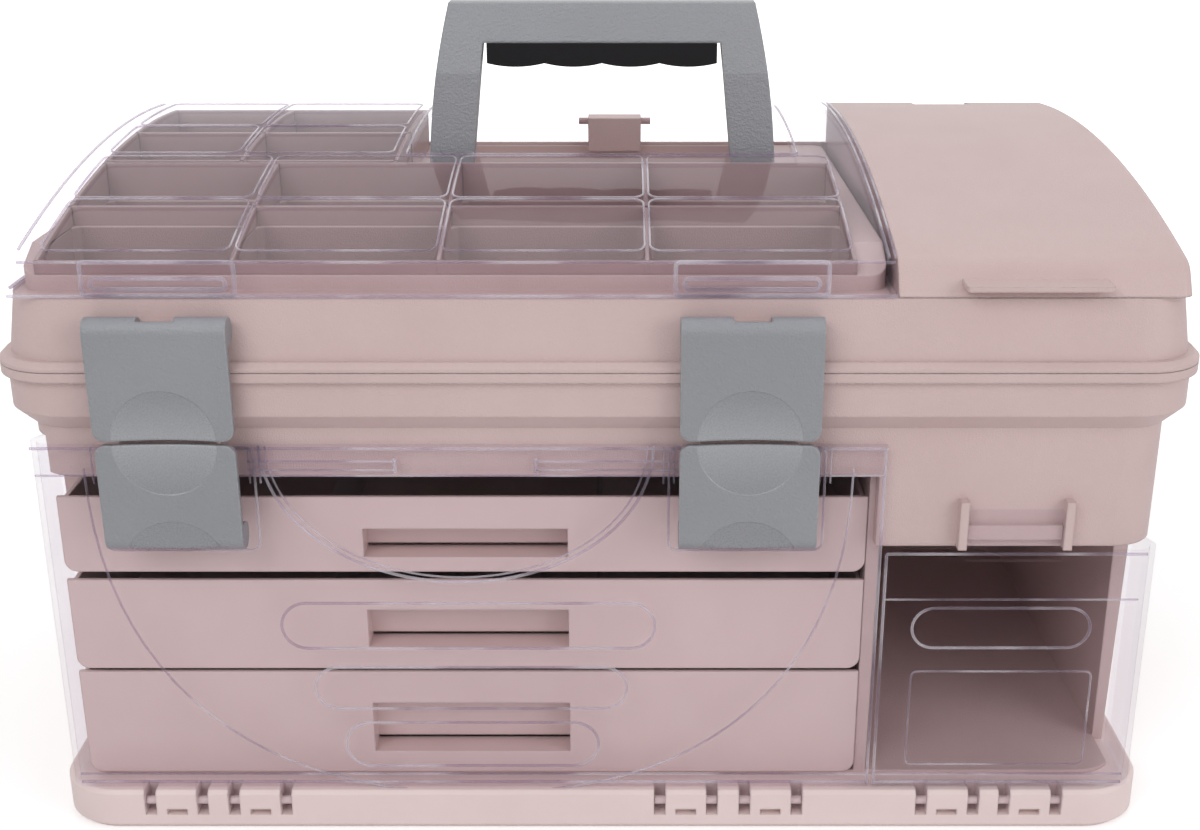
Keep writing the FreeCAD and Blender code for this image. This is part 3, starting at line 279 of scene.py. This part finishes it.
def clear_moulding(name, body):
    """The rounded lines moulded on the clear pieces, which turn violet and carry near-white patches
    painted as highlights.
    """
    skin = Finish(name)
    turned = skin.add("ShaderNodeLayerWeight", None, {"Blend": 0.5}, out="Facing")
    wave = skin.clouds(55.0, 2.0)
    # Near-white patches along the lines are painted highlights.
    highlight_patches = skin.range(skin.clouds(24.0, 2.0), 0.44, 0.58)
    through = skin.add("ShaderNodeBsdfTransparent", None, {"Color": flat(0.86, 0.82, 0.88)})
    surface = skin.add("ShaderNodeBsdfPrincipled", None,
                       {"Base Color": skin.between(highlight_patches, body, flat(0.93, 0.91, 0.94)),
                        "Roughness": skin.range(wave, 0.3, 0.7, 0.04, 0.12),
                        "IOR": 1.58, "Coat Weight": 0.8, "Coat Roughness": 0.03})
    share = turned ** 2.0 * 0.62 + wave * 0.12 + highlight_patches * 0.12 + 0.05
    mixed = skin.add("ShaderNodeMixShader", None, {0: share, 1: through, 2: surface})
    return skin.done(mixed)


clear_line = clear_moulding("clear_styrene_lines", flat(0.56, 0.49, 0.57))
# A paler line finish, painted as highlights along the cover's rims and tabs.
clear_rim_painted_highlight = clear_moulding("clear_styrene_rims_painted_highlight", flat(0.80, 0.76, 0.82))
clear_loose = clear_plastic("clear_dividers", flat(0.93, 0.92, 0.94), flat(0.72, 0.70, 0.74), 0.05)


# Pieces


def dress(finish, *names):
    """Gives CAD nodes a finish."""
    for name in names:
        nodes[name].data.materials.clear()
        nodes[name].data.materials.append(finish)


def soften(name):
    """Shades a node's round faces smooth and keeps its corners sharp."""
    mesh = nodes[name].data
    if "custom_normal" in mesh.attributes:
        mesh.attributes.remove(mesh.attributes["custom_normal"])
    mesh.shade_smooth()
    mesh.set_sharp_from_angle(angle=math.radians(24))


def line(name, points, body, finish, radius=0.6, closed=False, squash=0.6):
    """A raised moulding line through points in millimetres, riding on a body."""
    curve = bpy.data.curves.new(name, "CURVE")
    curve.dimensions = "3D"
    curve.bevel_depth = radius * MM
    curve.bevel_resolution = 3
    curve.use_fill_caps = True
    spline = curve.splines.new("POLY")
    spline.points.add(len(points) - 1)
    for point, (x, y, z) in zip(spline.points, points):
        point.co = (x * MM, y * MM, z * MM, 1.0)
    spline.use_cyclic_u = closed
    spline.use_smooth = True
    piece = bpy.data.objects.new(name, curve)
    bpy.context.scene.collection.objects.link(piece)
    curve.materials.append(finish)
    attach(piece, body)
    return piece


def on_front(points, y):
    """Points of a flat outline (x, z) set on a front face at y."""
    return [(x, y, z) for x, z in points]


def stadium(x0, x1, z0, z1, steps=14):
    """The outline of a long oval."""
    radius = (z1 - z0) / 2
    middle = (z0 + z1) / 2
    points = []
    for index in range(steps + 1):
        turn = math.pi / 2 - math.pi * index / steps
        points.append((x1 - radius + radius * math.cos(turn), middle + radius * math.sin(turn)))
    for index in range(steps + 1):
        turn = -math.pi / 2 - math.pi * index / steps
        points.append((x0 + radius + radius * math.cos(turn), middle + radius * math.sin(turn)))
    return points


def rounded_box(x0, x1, z0, z1, radius, steps=6):
    """The outline of a rectangle with rounded corners."""
    points = []
    for cx, cz, start in ((x1 - radius, z1 - radius, 0), (x0 + radius, z1 - radius, 90),
                          (x0 + radius, z0 + radius, 180), (x1 - radius, z0 + radius, 270)):
        for index in range(steps + 1):
            turn = math.radians(start + 90 * index / steps)
            points.append((cx + radius * math.cos(turn), cz + radius * math.sin(turn)))
    return points


def hanging_arc(middle, half, top, depth, power=2.3, steps=44):
    """A line that hangs between two points like the rim of a bowl."""
    points = []
    for index in range(steps + 1):
        turn = math.pi * index / steps
        x = -math.copysign(abs(math.cos(turn)) ** (2 / power), math.cos(turn))
        z = -math.sin(turn) ** (2 / power)
        points.append((middle + half * x, top + depth * z))
    return points


dress(rose, "cabinet_shell", "right_lid", "upper_bin")
dress(rose_lid, "main_lid")
dress(rose_deep, "base_plinth")
dress(rose_smooth, "drawer_top", "drawer_middle", "drawer_bottom")
dress(clear, "top_cover", "front_door", "side_door")
dress(clear_loose, *[name for name in nodes if "divider" in name])
dress(silver, "lid_latch_left", "lid_latch_right", "door_latch_left", "door_latch_right")
dress(silver_handle, "handle_frame")
dress(rubber, "handle_grip")
for name in nodes:
    soften(name)

FACE = -141.35
SIDE_FACE = -141.35

line("door_bowl_outer", on_front(hanging_arc(-59.5, 175, 190, 171), FACE), "door", clear_line, 0.55)
line("door_bowl_inner", on_front(hanging_arc(-65, 89.5, 201, 68, 2.0), FACE), "door", clear_line, 0.7)
line("door_bowl_inner_step", on_front(hanging_arc(-65, 86.5, 201, 65.5, 2.0), FACE), "door",
     clear_line, 0.45)
for number, (x0, x1, z0, z1) in enumerate(((-150.2, 25.8, 98.3, 122.0), (-136.3, 12.6, 65.8, 88.1),
                                           (-123.3, -1.0, 34.1, 58.1)), 1):
    line("door_oval_%d" % number, on_front(stadium(x0, x1, z0, z1), FACE), "door", clear_line, 0.7,
         closed=True)
for name, x0, x1 in (("left", -160, -93), ("right", -29, 36)):
    line("door_bar_upper_" + name, on_front([(x0, 193.6), (x1, 193.6)], FACE), "door", clear_line, 0.5)
    line("door_bar_lower_" + name, on_front([(x0, 189.4), (x1, 189.4)], FACE), "door", clear_line, 0.5)
    end = x1 if name == "left" else x0
    line("door_bar_end_" + name, on_front([(end, 188.0), (end, 195.0)], FACE), "door", clear_line, 0.8)
for name, x in (("left", -192.5), ("right", 67.1)):
    line("latch_surround_" + name, on_front(rounded_box(x - 35.5, x + 35.5, 149.5, 200.4, 4), FACE),
         "door", clear_line, 0.6, closed=True)
    for side in (-1, 1):
        for reach in (33.2, 38.0):
            line("latch_rib_%s_%d_%d" % (name, side + 1, round(reach)),
                 on_front([(x + side * reach, 183), (x + side * reach, 200.6)], FACE), "door",
                 clear_line, 0.45)
line("door_top_edge", on_front([(-258, 199.8), (130, 199.8)], FACE), "door", clear_line, 0.7)
line("door_top_step", on_front([(-257, 186.6), (130, 186.6)], FACE), "door", clear_line, 0.5)
line("door_foot_step", on_front([(-254, 29.5), (129.5, 29.5)], FACE), "door", clear_line, 0.6)
line("door_foot_edge", on_front([(-254, 25.0), (129.5, 25.0)], FACE), "door", clear_line, 0.8)
line("door_seam_edge", on_front([(129.9, 24), (129.9, 200)], FACE), "door", clear_line, 0.7)

line("side_oval", on_front(stadium(147, 231, 98.6, 119.5), SIDE_FACE), "compartment_door",
     clear_line, 0.7, closed=True)
line("side_panel", on_front(rounded_box(148, 234, 35, 86, 3), SIDE_FACE), "compartment_door",
     clear_line, 0.5, closed=True)
line("side_step", on_front([(133, 124), (252, 124)], SIDE_FACE), "compartment_door", clear_line, 0.5)
line("side_top_edge", on_front([(133, 147.4), (254, 147.4)], SIDE_FACE), "compartment_door",
     clear_line, 0.7)
line("side_foot_edge", on_front([(133, 25), (254, 25)], SIDE_FACE), "compartment_door", clear_line, 0.8)
line("side_foot_step", on_front([(133, 29.5), (254, 29.5)], SIDE_FACE), "compartment_door",
     clear_line, 0.6)
line("side_seam_edge", on_front([(133, 24), (133, 147)], SIDE_FACE), "compartment_door",
     clear_line, 0.7)


# The cover's raised frames over the cells

ARCH_RADIUS = 720.0
ARCH_TOP = 314.5
ARCH_PLACE = 72.0


def arch(y):
    """Height of the cover's arch at y, in millimetres."""
    return ARCH_TOP - ARCH_RADIUS + math.sqrt(ARCH_RADIUS ** 2 - (y - ARCH_PLACE) ** 2)


def over_arch(x0, x1, y0, y1, radius=5, lift=0.35):
    """A rounded frame laid over the arch."""
    points = []
    outline = rounded_box(x0, x1, y0, y1, radius, 4)
    for (ax, ay), (bx, by) in zip(outline, outline[1:] + outline[:1]):
        parts = max(1, round(abs(by - ay) / 6))
        for part in range(parts):
            x = ax + (bx - ax) * part / parts
            y = ay + (by - ay) * part / parts
            points.append((x, y, arch(y) + lift))
    return points


def tray_top(y):
    """Height of the tray's top, which falls towards the front."""
    return 287.0 - 12.0 * min(1.0, max(0.0, (-107.0 - y) / 24.0))


def prism(verts, faces, outline, low, high, along_x):
    """Adds the faces of a flat outline (place, height) drawn out between two places."""
    first = len(verts)
    count = len(outline)
    for end in (low, high):
        for place, height in outline:
            verts.append((end * MM, place * MM, height * MM) if along_x
                         else (place * MM, end * MM, height * MM))
    faces.append([first + index for index in range(count)])
    faces.append([first + count + index for index in reversed(range(count))])
    for index in range(count):
        after = (index + 1) % count
        faces.append([first + after, first + index, first + count + index, first + count + after])


def wall_lengthways(verts, faces, x, y0, y1, half):
    """A wall of the tray along Y whose top follows the cover's arch."""
    places = [y0 + (y1 - y0) * step / 12 for step in range(13)]
    outline = [(y, tray_top(y) - 0.4) for y in places]
    outline += [(y, arch(y) - 3.4) for y in reversed(places)]
    prism(verts, faces, outline, x - half, x + half, True)


def wall_across(verts, faces, y, x0, x1, half):
    """A wall of the tray along X, as high as the cover's arch allows."""
    top = arch(y) - 3.4
    low = tray_top(y) - 0.4
    prism(verts, faces, [(x0, low), (x1, low), (x1, top), (x0, top)], y - half, y + half, False)


def tray_crest():
    """The upper part of the walls between the tray's cells, which reaches up to the cover."""
    verts, faces = [], []
    for x in COLUMNS:
        wall_lengthways(verts, faces, x, -126.5, -16.5, 0.9)
    for y, half in ((-126.0, 0.8), (-73.5, 1.2), (-16.5, 1.0)):
        wall_across(verts, faces, y, COLUMNS[0] - 0.9, COLUMNS[-1] + 0.9, half)
    for x in REAR_COLUMNS:
        wall_lengthways(verts, faces, x, -14.5, 122.6, 0.9)
    for y, half in ((-12.5, 1.0), (42.5, 1.2), (123.0, 0.8)):
        wall_across(verts, faces, y, REAR_COLUMNS[0] - 0.9, REAR_COLUMNS[-1] + 0.9, half)
    mesh = bpy.data.meshes.new("tray_crest")
    mesh.from_pydata(verts, [], faces)
    mesh.update()
    # The crest walls carry the darker rose painted as shade.
    mesh.materials.append(tray_shade_rose)
    piece = bpy.data.objects.new("tray_crest", mesh)
    bpy.context.scene.collection.objects.link(piece)
    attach(piece, "lid")


COLUMNS = (-250.0, -163.2, -71.3, 21.5, 113.8)
REAR_COLUMNS = (-250.0, -182.0, -104.0)
tray_crest()
number = 0
for places, rows in ((COLUMNS, ((-124.5, -74.5), (-72.5, -17.5))),
                     (REAR_COLUMNS, ((-12.0, 41.5), (43.5, 121.0)))):
    for x0, x1 in zip(places, places[1:]):
        for y0, y1 in rows:
            number += 1
            line("cover_frame_%d" % number, over_arch(x0 + 1.2, x1 - 1.2, y0, y1), "cover",
                 clear_line, 0.5, closed=True)



# Lines on the cover's front and its tabs

COVER_FACE = -140.65
# The tabs' frames and the cover's foot edge take the paler finish as painted highlights.
for name, x in (("left", -192.5), ("right", 67.1)):
    for step, (spread, low, high) in enumerate(((33.5, 271.4, 286.4), (29.5, 274.2, 279.0))):
        line("tab_frame_%s_%d" % (name, step), on_front(
            rounded_box(x - spread, x + spread, low, high, 2.2), COVER_FACE), "cover", clear_rim_painted_highlight,
            1.0, closed=True)
line("cover_foot_edge", on_front([(-259, 271.0), (131, 271.0)], COVER_FACE), "cover", clear_rim_painted_highlight, 0.8)
line("cover_brow_edge", [(x, -132.2, arch(-132.2) - 0.9) for x in (-256, 130.6)], "cover",
     clear_line, 0.6)
for number, x in enumerate((130.9, 128.2)):
    line("cover_end_rib_%d" % number, [(x, y, arch(y) + 0.2) for y in range(-130, 136, 6)], "cover",
         clear_line, 0.6)
for side in (-1, 1):
    line("recess_edge_%d" % (side + 1), [(side * 98.5, y, arch(y) + 0.2) for y in range(-12, 119, 6)],
         "cover", clear_line, 0.6)
line("recess_front_edge", [(x, -14, arch(-14) + 0.2) for x in (-98.5, 98.5)], "cover", clear_line,
     0.6)
# The cover's left end and foot take paler rim lines as painted highlights.
line("cover_left_rib", [(-258.5, y, arch(y) - 0.35) for y in range(-122, 136, 6)], "cover",
     clear_rim_painted_highlight, 0.7)
line("cover_left_foot", [(-262.1, -128, 271.5), (-262.1, 135, 271.5)], "cover", clear_rim_painted_highlight, 0.8)


# Floor, light and camera

def floor_finish():
    """A pale floor that keeps the case's shadow and runs out to white."""
    skin = Finish("pale_floor")
    fleck = skin.clouds(3.0, 2.0)
    colour = skin.between(fleck, flat(0.90, 0.90, 0.90), flat(0.93, 0.93, 0.93))
    shader = skin.add("ShaderNodeBsdfPrincipled", None, {"Base Color": colour, "Roughness": 0.85,
                                                         "Specular IOR Level": 0.1})
    seen = skin.add("ShaderNodeLightPath", out="Is Camera Ray")
    away = skin.add("ShaderNodeVectorMath", {"operation": "LENGTH"}, {0: skin.place()}, out="Value")
    white = skin.between(skin.range(away, 0.45, 1.6), flat(0.32, 0.32, 0.32), flat(1, 1, 1))
    glow = skin.add("ShaderNodeEmission", None, {"Color": white, "Strength": 1.0})
    clear_glow = skin.add("ShaderNodeEmission", None, {"Color": flat(0, 0, 0), "Strength": 0.0})
    extra = skin.add("ShaderNodeMixShader", None, {0: seen, 1: clear_glow, 2: glow})
    both = skin.add("ShaderNodeAddShader", None, {0: shader, 1: extra})
    return skin.done(both)


mesh = bpy.data.meshes.new("floor")
mesh.from_pydata([(-4, -4, 0), (4, -4, 0), (4, 6, 0), (-4, 6, 0)], [], [(0, 1, 2, 3)])
mesh.materials.append(floor_finish())
floor = bpy.data.objects.new("floor", mesh)
bpy.context.scene.collection.objects.link(floor)


def pale_world():
    """A soft grey dome that camera, mirror and glass rays see as white."""
    world = bpy.data.worlds.new("studio")
    world.use_nodes = True
    tree = world.node_tree
    tree.nodes.clear()
    path = tree.nodes.new("ShaderNodeLightPath")
    seen = tree.nodes.new("ShaderNodeMath")
    seen.operation = "MAXIMUM"
    either = tree.nodes.new("ShaderNodeMath")
    either.operation = "MAXIMUM"
    dome = tree.nodes.new("ShaderNodeBackground")
    dome.inputs["Color"].default_value = (1.0, 1.0, 1.0, 1.0)
    dome.inputs["Strength"].default_value = DOME
    white = tree.nodes.new("ShaderNodeBackground")
    white.inputs["Color"].default_value = (1.0, 1.0, 1.0, 1.0)
    white.inputs["Strength"].default_value = 1.0
    mix = tree.nodes.new("ShaderNodeMixShader")
    output = tree.nodes.new("ShaderNodeOutputWorld")
    link = tree.links.new
    link(path.outputs["Is Camera Ray"], seen.inputs[0])
    link(path.outputs["Is Transmission Ray"], seen.inputs[1])
    link(seen.outputs[0], either.inputs[0])
    link(path.outputs["Is Glossy Ray"], either.inputs[1])
    link(either.outputs[0], mix.inputs[0])
    link(dome.outputs[0], mix.inputs[1])
    link(white.outputs[0], mix.inputs[2])
    link(mix.outputs[0], output.inputs["Surface"])
    bpy.context.scene.world = world


def softbox(name, place, target, width, height, power):
    """A rectangular lamp that faces a point."""
    lamp = bpy.data.lights.new(name, "AREA")
    lamp.shape = "RECTANGLE"
    lamp.size = width
    lamp.size_y = height
    lamp.energy = power
    piece = bpy.data.objects.new(name, lamp)
    piece.location = place
    piece.rotation_euler = (Vector(target) - Vector(place)).to_track_quat("-Z", "Y").to_euler()
    bpy.context.scene.collection.objects.link(piece)


DOME = 0.5
pale_world()
softbox("key_softbox", (-0.9, -1.5, 1.6), (0, 0, 0.15), 1.2, 1.0, 12.5)
softbox("fill_softbox", (1.5, -1.2, 0.9), (0, 0, 0.15), 1.2, 1.2, 10)
softbox("top_softbox", (0.0, 0.5, 2.0), (0, 0, 0.2), 1.6, 1.2, 8)

camera = bpy.data.cameras.new("camera")
camera.lens = 48.0
camera.sensor_width = 36.0
camera.shift_x = -0.0183
camera.clip_start = 0.02
eye = bpy.data.objects.new("camera", camera)
eye.location = (0.0102, -0.8163, 0.4617)
eye.rotation_euler = (math.radians(70.0), 0.0, 0.0)
bpy.context.scene.collection.objects.link(eye)
bpy.context.scene.camera = eye

bpy.context.scene.view_settings.view_transform = "Standard"
